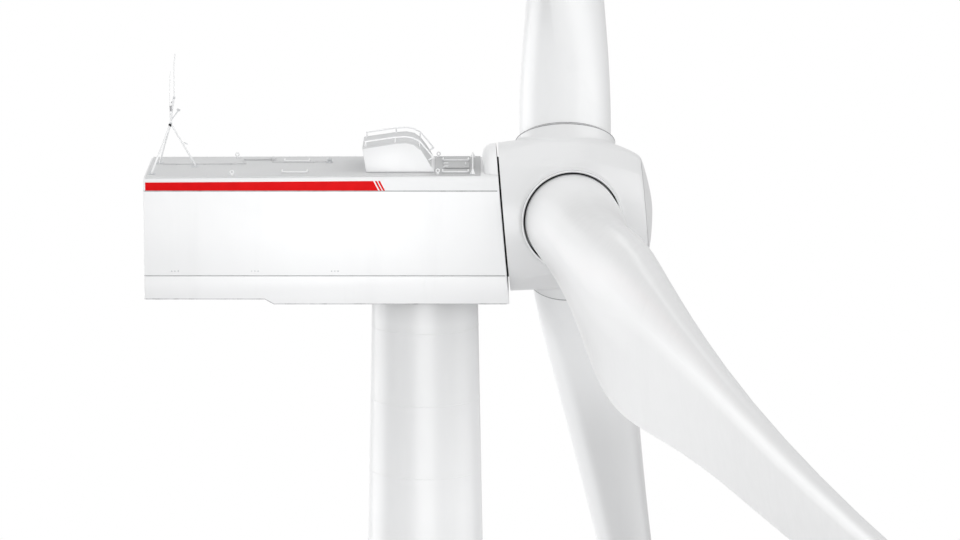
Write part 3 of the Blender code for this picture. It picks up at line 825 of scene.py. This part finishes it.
class TURBINE_OT_hatch_and_light(bpy.types.Operator):
    """The roof hatch with its hinges and handle, and the obstruction light's base and lens"""

    bl_idname = "turbine.hatch_and_light"
    bl_label = "Hatch and light"

    def execute(self, context):
        low, high = roof_z(1.4) + 0.003, ROOF_Z + 0.036
        lid = soften(box((0.62, -0.62, low), (1.40, 0.42, high)), 0.016, 3)
        piece("hatch_lid", lid, "deck", ["roof_hatch"])
        shapes = []
        for y in (-0.40, 0.20):
            shapes.append(tube([(0.60, y - 0.07, high - 0.02), (0.60, y + 0.07, high - 0.02)], 0.022))
            shapes.append(box((0.60, y - 0.05, high - 0.012), (0.74, y + 0.05, high + 0.008)))
        handle = [(-0.22, -0.01), (-0.22, 0.04), (-0.18, 0.055), (-0.02, 0.055), (0.02, 0.04), (0.02, -0.01)]
        shapes.append(tube([(1.28, y, high + rise) for y, rise in handle], 0.012))
        piece("hatch_fittings", merged(shapes), "rail", smooth=40)
        place = on_roof(-2.99, 0.67, 0.003)
        base = lathe([(0, 0), (0, 0.10), (0.03, 0.10), (0.042, 0.078), (0.05, 0.078), (0.05, 0)], 32, place)
        piece("light_base", base, "zinc", smooth=40)
        ribs = [(0.05, 0)]
        for step in range(3):
            z = 0.052 + step * 0.02
            ribs += [(z, 0.064), (z + 0.006, 0.070), (z + 0.013, 0.070), (z + 0.019, 0.064)]
        ribs += [(0.125, 0.052), (0.138, 0.034), (0.144, 0.0)]
        piece("light_lens", lathe(ribs, 32, place), "lens", ["obstruction_light"], 25)
        return {"FINISHED"}


class TURBINE_OT_hood(bpy.types.Operator):
    """The cooling hood, its top coating, its louvres and the feet of its two rails"""

    bl_idname = "turbine.hood"
    bl_label = "Cooling hood"

    def execute(self, context):
        bm = node_copy("cooling_hood")
        piece("hood_shell", bm, "housing", ["cooling_hood"], 35, real=False)
        low, high = HOOD_MOUTH
        shapes = [box((-1.62, -0.897, low), (-1.605, 0.897, high))]
        for step in range(10):
            place = Matrix.Translation((-1.675, 0, 16.815 + step * 0.049)) @ turned(38, "Y")
            shapes.append(box((-0.05, -0.895, -0.006), (0.05, 0.895, 0.006), place))
        for y in (-0.885, -0.30, 0.30, 0.885):
            shapes.append(box((-1.70, y - 0.012, low), (-1.62, y + 0.012, high)))
        mat = node_copy("cooling_hood")
        spare = [
            face for face in mat.faces
            if face.normal.z < MAT_SLOPE or face.calc_center_median().z < MAT_LOW_Z * SCALE
        ]
        bmesh.ops.delete(mat, geom=spare, context="FACES")
        bmesh.ops.solidify(mat, geom=mat.faces[:], thickness=0.0008)
        bmesh.ops.recalc_face_normals(mat, faces=mat.faces[:])
        bmesh.ops.translate(mat, verts=mat.verts[:], vec=(0, 0, 0.0003))
        piece("hood_top_mat", mat, "deck", smooth=40, real=False)
        piece("hood_louvres", merged(shapes), "zinc", ["hood_grille"])
        feet = []
        for side, node in ((-0.95, "hood_rail_right"), (0.95, "hood_rail_left")):
            repaint(node, "rail")
            for x, z, lean in ((-1.82, 17.417, -8.8), (-0.90, 17.556, -4), (-0.15, 17.39, 37)):
                place = Matrix.Translation((x, side, z)) @ turned(lean, "Y")
                feet.append(dome(0.045, 0.012, place, 16))
        piece("hood_rail_feet", merged(feet), "rail", smooth=40)
        return {"FINISHED"}


def from_head(x, y, z):
    return MAST_HEAD + Vector((x, y, z))


class TURBINE_OT_mast(bpy.types.Operator):
    """The rear mast's clamps, socket, lead and whip, and the heads of its two wind sensors"""

    bl_idname = "turbine.mast"
    bl_label = "Sensor mast"

    def execute(self, context):
        repaint("sensor_mast", "rail")
        repaint("lightning_rod", "rail")
        shapes = []
        for x, z, radius in ((0.0, 0.0, 0.045), (0.035, 0.42, 0.042), (0.115, 0.80, 0.038)):
            shapes.append(drum(-0.03, 0.03, radius, 16, Matrix.Translation(from_head(x, 0, z))))
        shapes.append(tube([from_head(0.26, 0, 0.42), from_head(-0.01, 0, 0.06)], 0.016))
        shapes.append(tube([from_head(0.20, 0, 0.44), from_head(0.30, 0, 0.40)], 0.03))
        shapes.append(tube([from_head(0.40, 0, -0.60), from_head(0.52, 0, -0.66)], 0.014))
        piece("mast_clamps", soften(merged(shapes), 0.005, 2, 60), "zinc")
        socket = drum(-0.045, 0.035, 0.045, 16, Matrix.Translation(from_head(-0.02, -0.03, -0.05)))
        piece("mast_socket", soften(socket, 0.008, 2, 60), "seal")
        whip = [from_head(-0.02, 0.06, 0.02), from_head(-0.03, 0.06, 0.9), from_head(0.0, 0.06, 1.62)]
        piece("mast_whip", tube(whip, 0.011), "rail", smooth=40)
        profile = [
            (0, 0), (0, 0.026), (0.03, 0.030), (0.085, 0.030), (0.095, 0.022), (0.115, 0.022),
            (0.125, 0.046), (0.150, 0.046), (0.165, 0.036), (0.175, 0.0),
        ]
        for number, y in ((1, -0.95), (2, -0.05)):
            cup = lathe(profile, 28, Matrix.Translation((MAST_HEAD.x + 0.04, y, MAST_HEAD.z + 0.448)))
            piece(f"sensor_head_{number}", cup, "sensor", [f"wind_sensor_{number}"])
        return {"FINISHED"}


def blended_spinner():
    """The spinner as one moulding: belts, collars and body melted into each other, then cut open."""
    outline = [(SPINNER_REAR - 0.25, 0), (SPINNER_REAR - 0.25, 2.32)] + smooth_outline(SPINNER_PROFILE)
    outline += [(2.60, 1.33), (2.60, 0)]
    body = linked("spinner_body", lathe(outline, 240, ROTOR @ ALONG_X))
    steps = []

    def carve(name, shape, place, operation="DIFFERENCE"):
        shape.transform(place)
        made = linked(name, shape)
        steps.append(("BOOLEAN", {"object": made, "operation": operation, "solver": "EXACT"}))

    for number, degrees in BLADE_TURNS.items():
        belt = prism(smooth_outline(BELT_PROFILE) + [(2.7, 4.0), (-1.96, 4.0)], -3, 3)
        carve(f"belt_{number}", belt, ROTOR @ turned(degrees - 60, "X"))
    low, high = RING_FROM_HUB - 0.02, RING_FROM_HUB + 0.12
    collar = [(0.9, 0), (0.9, 1.62), (1.75, 1.62), (low, 1.567), (high, 1.566), (high, 0)]
    for number, place in BLADE_PLACES.items():
        carve(f"collar_{number}", lathe(collar, 120), place, "UNION")
    steps.append(("REMESH", {"mode": "VOXEL", "voxel_size": sizes().spinner_grain, "adaptivity": 0.0}))
    steps.append(("SMOOTH", {"factor": 0.5, "iterations": 2}))
    for number, place in BLADE_PLACES.items():
        carve(f"socket_{number}", drum(1.20, 2.6, RING_RADIUS, 96), place)
        carve(f"lid_{number}", drum(RING_FROM_HUB, 4.0, 2.2, 48), place)
    carve("rear_cut", box((SPINNER_REAR - 2, -4, -4), (SPINNER_REAR, 4, 4)), ROTOR)
    carve("front_cut", box((SPINNER_PROFILE[-1][0], -4, -4), (6, 4, 4)), ROTOR)
    return applied(body, steps)


# Rings round each blade's root: name, outline of (distance from the hub, radius), steps, finish, and the
# body and the replaced node, with {} for the blade's number.
ROOT_RINGS = (
    (
        "collar_rim", [
            (2.20, 1.512), (2.328, 1.512), (2.340, 1.524), (2.340, 1.558), (2.326, 1.572), (2.29, 1.572),
            (2.20, 1.556),
        ], 144, "rim", "rotor", "",
    ),
    # A dark band just under the rim's lip: painted shadow of the lip.
    (
        "collar_shadow_band", [(2.290, 1.562), (2.290, 1.576), (2.322, 1.576), (2.322, 1.562)],
        144, "gasket", "rotor", "",
    ),
    (
        "root_lip", [
            (1.95, 1.443), (1.95, 1.453), (2.12, 1.453), (2.13, 1.455), (2.24, 1.455), (2.25, 1.450),
            (2.25, 1.443),
        ], 144, "seal", "blade_{}", "root_seal_{}",
    ),
    (
        # A grey rubber apron round the root above the rim; its dark band also stands in for the shade in the
        # gap between rim and blade.
        "root_apron", [(2.345, 1.438), (2.345, 1.460), (2.405, 1.460), (2.412, 1.454), (2.412, 1.438)],
        144, "gasket", "blade_{}", "",
    ),
    (
        "socket_sleeve", [(1.25, 1.496), (1.25, 1.508), (2.20, 1.508), (2.20, 1.504), (1.27, 1.500)],
        96, "seal", "rotor", "",
    ),
)


class TURBINE_OT_rotor(bpy.types.Operator):
    """Spinner, nose, the rings round the blade roots, bearings, shaft and its seal drum"""

    bl_idname = "turbine.rotor"
    bl_label = "Rotor"

    def execute(self, context):
        bm = blended_spinner()
        piece("spinner_moulding", bm, "spinner", ["spinner_shell"], 40, "rotor")
        curve = smooth_outline(NOSE_PROFILE)
        points = [(NOSE_PROFILE[0][0], 0), (NOSE_PROFILE[0][0], 1.455), (2.478, 1.473)] + curve[2:]
        nose = lathe(points, 144, ROTOR @ ALONG_X)
        piece("nose_cap", nose, "spinner", ["spinner_nose"], 35, "rotor")
        for number, place in BLADE_PLACES.items():
            for name, outline, steps, look, body, node in ROOT_RINGS:
                ring = lathe(outline, steps, place, closed=True)
                replaced = [node.format(number)] if node else ()
                piece(f"{name}_{number}", ring, look, replaced, 50, body.format(number))
            repaint(f"pitch_bearing_{number}", "steel")
        repaint("main_shaft", "steel")
        repaint("main_bearing", "steel")
        drum_low = SPINNER_REAR - RUNNING - 0.22
        outline = [
            (drum_low, 0), (drum_low, 1.86), (drum_low + 0.02, 1.88), (SPINNER_REAR - 0.003, 1.88),
            (SPINNER_REAR - 0.003, 0),
        ]
        seal = lathe(outline, 96, ROTOR @ ALONG_X)
        piece("labyrinth_drum", seal, "seal", ["shaft_seal_drum"], 40, "rotor")
        return {"FINISHED"}


def blended_station(distance):
    """The blade's section values at this distance from the hub, on a smooth curve through the stations."""
    spots = [station[0] for station in BLADE_STATIONS]
    index = max(0, min(len(spots) - 2, sum(spot <= distance for spot in spots) - 1))
    low, high = BLADE_STATIONS[index], BLADE_STATIONS[index + 1]
    before = BLADE_STATIONS[max(index - 1, 0)]
    after = BLADE_STATIONS[min(index + 2, len(spots) - 1)]
    length = high[0] - low[0]
    share = (distance - low[0]) / length
    values = []
    for low_value, high_value, before_value, after_value in zip(low[1:], high[1:], before[1:], after[1:]):
        rate = (high_value - low_value) / length
        start = rate if before is low else ((low_value - before_value) / (low[0] - before[0]) + rate) / 2
        end = rate if after is high else ((after_value - high_value) / (after[0] - high[0]) + rate) / 2
        square, cube = share**2, share**3
        values.append(
            low_value * (2 * cube - 3 * square + 1) + start * length * (cube - 2 * square + share)
            + high_value * (3 * square - 2 * cube) + end * length * (cube - square)
        )
    return values


def between(points, distance):
    """The value at this distance on a line through these (distance, value) points."""
    if distance <= points[0][0]:
        return points[0][1]
    for (low, first), (high, second) in zip(points, points[1:]):
        if distance <= high:
            return first + (second - first) * (distance - low) / (high - low)
    return points[-1][1]


def eased(value, low, high):
    share = min(1.0, max(0.0, (value - low) / (high - low)))
    return share * share * (3 - 2 * share)


def downwind_painted_light(share, distance, ridge):
    """How much paler or darker the downwind face is here than its gelcoat, in painted light: a
    highlight line along the nose, painted sheen behind the nose near the root, and painted shade
    near the tail and further out."""
    # edge is the painted highlight line along the nose.
    off = abs(share - between(HIGHLIGHT_LINE_PLACE, distance))
    edge = between(HIGHLIGHT_LINE_STRENGTH, distance) * (1 - eased(off, 0.004, 0.020))
    near_root = eased(distance, 2.5, 5.0) * (1 - eased(distance, 17.0, 26.0))
    painted_sheen = eased(share, 0.10, 0.22) * (1 - eased(share, 0.48, 0.62)) * near_root
    tail_shade = eased(share, 0.60, 0.82) * eased(distance, 4.5, 8.0) * (1 - eased(distance, 14.0, 19.0))
    outer_shade = eased(share, ridge + 0.06, ridge + 0.14) * eased(distance, 24.0, 46.0)
    return edge + 0.5 * painted_sheen - 0.45 * tail_shade - 0.38 * outer_shade


def section_point(values, ridge, step, half):
    """A section's point, counted from the leading edge, first along the downwind face.

    Gives (upwind, ahead) places, the part of the chord and the face, 1 for downwind. Both faces
    are a round nose up to the thickest point. Behind it the downwind face runs almost straight
    to the tail, which leaves a ridge, and the upwind face stays full.
    """
    chord, thick, ahead, twist, wing = values
    wing = min(1.0, max(0.0, wing))
    side = 1 if step < half else -1
    place = step if step < half else 2 * half - step
    nose = round(half * NOSE_SHARE)
    thickest = ridge if side > 0 else UPWIND_CREST
    if place <= nose:
        share = thickest * (1 - math.cos(math.pi / 2 * place / nose))
        depth = 0.5 * math.sin(math.pi / 2 * place / nose)
    else:
        back = (place - nose) / (half - nose)
        share = thickest + (1 - thickest) * math.sin(math.pi / 2 * back)
        left = (1 - share) / (1 - thickest)
        depth = 0.5 * left**1.1 if side > 0 else 0.5 * (1 - (1 - left) ** 1.7)
    camber = 0.03 * chord * wing * 4 * share * (1 - share)
    wing_x = -side * (depth * thick + 0.008 * chord * share) - camber
    circle_x = -side * math.sqrt(share * (1 - share)) * thick
    point = Vector((wing_x * wing + circle_x * (1 - wing), (ahead - share) * chord))
    return Matrix.Rotation(math.radians(-twist), 2) @ point, share, side


class TURBINE_OT_blades(bpy.types.Operator):
    """The three blades as smooth lofts, with painted highlights and shade kept in a point attribute"""

    bl_idname = "turbine.blades"
    bl_label = "Blades"

    def execute(self, context):
        sides = sizes().blade_sides
        for number, place in BLADE_PLACES.items():
            bm = bmesh.new()
            painted_light_and_shade = bm.verts.layers.float.new("painted_light_and_shade")
            loops = []
            for distance in BLADE_RINGS:
                values = blended_station(distance)
                ring = bmesh.ops.create_circle(bm, segments=sides, radius=1.0)["verts"]
                ridge = between(RIDGE, distance)
                bend = PREBEND * (distance / BLADE_STATIONS[-1][0]) ** PREBEND_POWER
                for step, vert in enumerate(ring):
                    spot, share, side = section_point(values, ridge, step, sides // 2)
                    vert.co = (spot.x + bend, spot.y, distance)
                    crest = ridge if side > 0 else UPWIND_CREST
                    # Painted shade along the nose and a painted highlight on each face's ridge, kept in the
                    # point attribute.
                    nose_painted_shade = 1 - eased(share, crest * 0.2, crest * 0.8)
                    past = eased(share, crest + 0.01, crest + 0.09)
                    ridge_painted_highlight = eased(share, crest - 0.08, crest) * (1 - past)
                    vert[painted_light_and_shade] = 0.5 + (0.5 * ridge_painted_highlight - 0.5 * nose_painted_shade) * eased(distance, 4.5, 9.0)
                    if side > 0:
                        vert[painted_light_and_shade] += downwind_painted_light(share, distance, ridge)
                loops.append(ring)
            skin_rings(bm, loops)
            bm.transform(place)
            piece(f"blade_skin_{number}", bm, "blade", [f"blade_{number}"], 60, f"blade_{number}")
        return {"FINISHED"}


class TURBINE_OT_tower(bpy.types.Operator):
    """The tower section's cans with their weld beads, the base flange and the yaw bearing"""

    bl_idname = "turbine.tower"
    bl_label = "Tower section"

    def execute(self, context):
        bead = sizes().weld_height
        welds = []
        for number in range(1, 7):
            low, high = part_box(f"tower_can_{number}")
            foot, top = low[2] / SCALE, high[2] / SCALE
            wide = (high[0] - low[0]) / 2 / SCALE
            narrow = wide - TOWER_TAPER * (top - foot)
            outline = [
                (foot, wide - 0.08), (foot, wide - 0.006), (foot + 0.006, wide), (top - 0.006, narrow),
                (top, narrow - 0.006), (top, narrow - 0.08),
            ]
            shell = lathe(outline, 128, closed=True)
            piece(f"tower_shell_{number}", shell, "tower", [f"tower_can_{number}"], 40, "tower")
            if number < 6:
                ring = []
                for step in range(7):
                    turn = math.pi * step / 6
                    z = top + 0.0015 + bead * 1.6 * math.cos(turn)
                    ring.append((z, narrow - 0.004 + bead * math.sin(turn)))
                ring += [(top - 0.012, narrow - 0.03), (top + 0.015, narrow - 0.03)]
                welds.append(lathe(ring, 128, closed=True))
        piece("weld_beads", merged(welds), "tower", smooth=60, body="tower")
        repaint("tower_base_flange", "tower")
        repaint("yaw_bearing", "steel")
        return {"FINISHED"}


def sun(name, towards, strength, angle):
    """A soft sun shining along this direction."""
    data = bpy.data.lights.new(name, "SUN")
    data.energy = strength
    data.angle = math.radians(angle)
    made = bpy.data.objects.new(name, data)
    made.rotation_mode = "QUATERNION"
    made.rotation_quaternion = Vector(towards).to_track_quat("-Z", "Y")
    bpy.context.scene.collection.objects.link(made)


def studio_glow(wires):
    """Strength of the surroundings: dim below, brighter above, with a bright wall low behind the object."""
    way = wires.add("ShaderNodeTexCoord").outputs["Generated"]

    def towards(direction):
        made = wires.add("ShaderNodeVectorMath", operation="DOT_PRODUCT")
        made.inputs[1].default_value = Vector(direction).normalized()
        wires.join(way, made.inputs[0])
        return made.outputs["Value"]

    total = wires.math("MULTIPLY_ADD", wires.math("MAXIMUM", towards((0, 0, 1)), 0.0), 0.40, 0.37)
    for direction, strength in (((-0.25, 0.94, -0.25), 0.78), ((0, 0.9, 0.4), 0.20)):
        away = wires.math("SUBTRACT", towards(direction), 1.0)
        wall = wires.math("EXPONENT", wires.math("DIVIDE", away, 0.12))
        total = wires.math("MULTIPLY_ADD", wall, strength, total)
    return total


# The studio's suns: name, the way they shine, strength and width in degrees.
SUNS = (
    ("front_light", (0.0, 1.0, -0.04), 1.18, 46),
    ("left_light", (0.90, -0.42, 0.0), 0.95, 50),
    ("top_light", (0.4, -0.3, -0.85), 0.4, 50),
    ("right_light", (-1.0, 0.0, 0.0), 0.40, 50),
    ("right_top_light", (-0.8, 0.2, -0.6), 0.56, 50),
)
# The camera that was fitted to the photo: its place in real metres, how far it looks down, its lens.
CAMERA_PLACE = (1.725, -147.827, 41.017)
CAMERA_DOWN = 10.6
CAMERA_LENS = 180.0
FLOOR_Z = -63.5
FLOOR_RADIUS = 170
FLOOR_FADE = (9.0, 17.5)  # where it starts to turn white and where it is white, in model metres


class TURBINE_OT_stage(bpy.types.Operator):
    """A floor that pales outward, soft studio light, white surroundings and the camera"""

    bl_idname = "turbine.stage"
    bl_label = "Stage"

    def execute(self, context):
        scene = context.scene
        scene.view_settings.view_transform = "Standard"
        floor = drum(FLOOR_Z - 0.1, FLOOR_Z, FLOOR_RADIUS, 96)
        bmesh.ops.scale(floor, vec=(SCALE, SCALE, SCALE), verts=floor.verts)
        made = linked("studio_floor", floor)
        wires = Nodes("studio_floor_paint")
        colour = scene.turbine_colours.floor
        tone = wires.mix(wires.patches(0.3, 0.7, 0.4, 3.0), colour, shaded(colour, 0.985))
        middle = wires.add("ShaderNodeVectorMath", operation="LENGTH")
        wires.join(wires.place, middle.inputs[0])
        outward = wires.math("POWER", wires.spread(middle.outputs["Value"], *FLOOR_FADE), 1.5)
        wires.paint(outward, tone, (0.98, 0.98, 0.98))
        wires.put("Roughness", 0.8)
        made.data.materials.append(wires.material)
        world = bpy.data.worlds.new("studio_surroundings")
        scene.world = world
        world.use_nodes = True
        wires = Wires(world.node_tree)
        seen, lit = wires.tree.nodes["Background"], wires.add("ShaderNodeBackground")
        for shown in (seen, lit):
            shown.inputs["Color"].default_value = (1, 1, 1, 1)
        seen.inputs["Strength"].default_value = 1.0
        wires.join(studio_glow(wires), lit.inputs["Strength"])
        path, mix = wires.add("ShaderNodeLightPath"), wires.add("ShaderNodeMixShader")
        wires.join(path.outputs["Is Camera Ray"], mix.inputs[0])
        wires.join(lit.outputs[0], mix.inputs[1])
        wires.join(seen.outputs[0], mix.inputs[2])
        wires.join(mix.outputs[0], wires.tree.nodes["World Output"].inputs["Surface"])
        for light in SUNS:
            sun(*light)
        data = bpy.data.lights.new("side_light", "AREA")
        data.size = 5.0 * SCALE
        data.energy = 0.80
        made = bpy.data.objects.new("side_light", data)
        made.location = Vector((-2.5, -9.0, 14.1)) * SCALE
        made.rotation_euler = (math.radians(90), 0, 0)
        made.visible_camera = False
        made.visible_glossy = False
        scene.collection.objects.link(made)
        lens = bpy.data.cameras.new("photo_view")
        lens.sensor_width = 36.0
        lens.lens = CAMERA_LENS
        lens.clip_start = 0.1
        lens.clip_end = 500.0
        camera = bpy.data.objects.new("photo_view", lens)
        camera.location = Vector(CAMERA_PLACE) * SCALE
        camera.rotation_euler = (math.radians(90 - CAMERA_DOWN), 0, 0)
        scene.collection.objects.link(camera)
        scene.camera = camera
        return {"FINISHED"}


STEPS = (
    TURBINE_OT_stage, TURBINE_OT_housing, TURBINE_OT_side_details, TURBINE_OT_roof,
    TURBINE_OT_hatch_and_light, TURBINE_OT_hood, TURBINE_OT_mast, TURBINE_OT_rotor, TURBINE_OT_blades,
    TURBINE_OT_tower,
)


class TURBINE_PT_panel(bpy.types.Panel):
    """Lists the turbine's steps, sizes and colours"""

    bl_label = "Turbine"
    bl_idname = "TURBINE_PT_panel"
    bl_space_type = "VIEW_3D"
    bl_region_type = "UI"
    bl_category = "Turbine"

    def draw(self, context):
        for step in STEPS:
            self.layout.operator(step.bl_idname)
        for group in (context.scene.turbine_sizes, context.scene.turbine_colours):
            for key in group.bl_rna.properties.keys():
                if key not in ("rna_type", "name"):
                    self.layout.prop(group, key)


CLASSES = (TurbineColours, TurbineSizes, *STEPS, TURBINE_PT_panel)


def register():
    for each in CLASSES:
        bpy.utils.register_class(each)
    bpy.types.Scene.turbine_colours = bpy.props.PointerProperty(type=TurbineColours)
    bpy.types.Scene.turbine_sizes = bpy.props.PointerProperty(type=TurbineSizes)


def unregister():
    del bpy.types.Scene.turbine_sizes
    del bpy.types.Scene.turbine_colours
    for each in reversed(CLASSES):
        bpy.utils.unregister_class(each)


def main():
    register()
    for step in STEPS:
        family, name = step.bl_idname.split(".")
        getattr(getattr(bpy.ops, family), name)()
    bpy.context.view_layer.update()


if __name__ == "__main__":
    main()
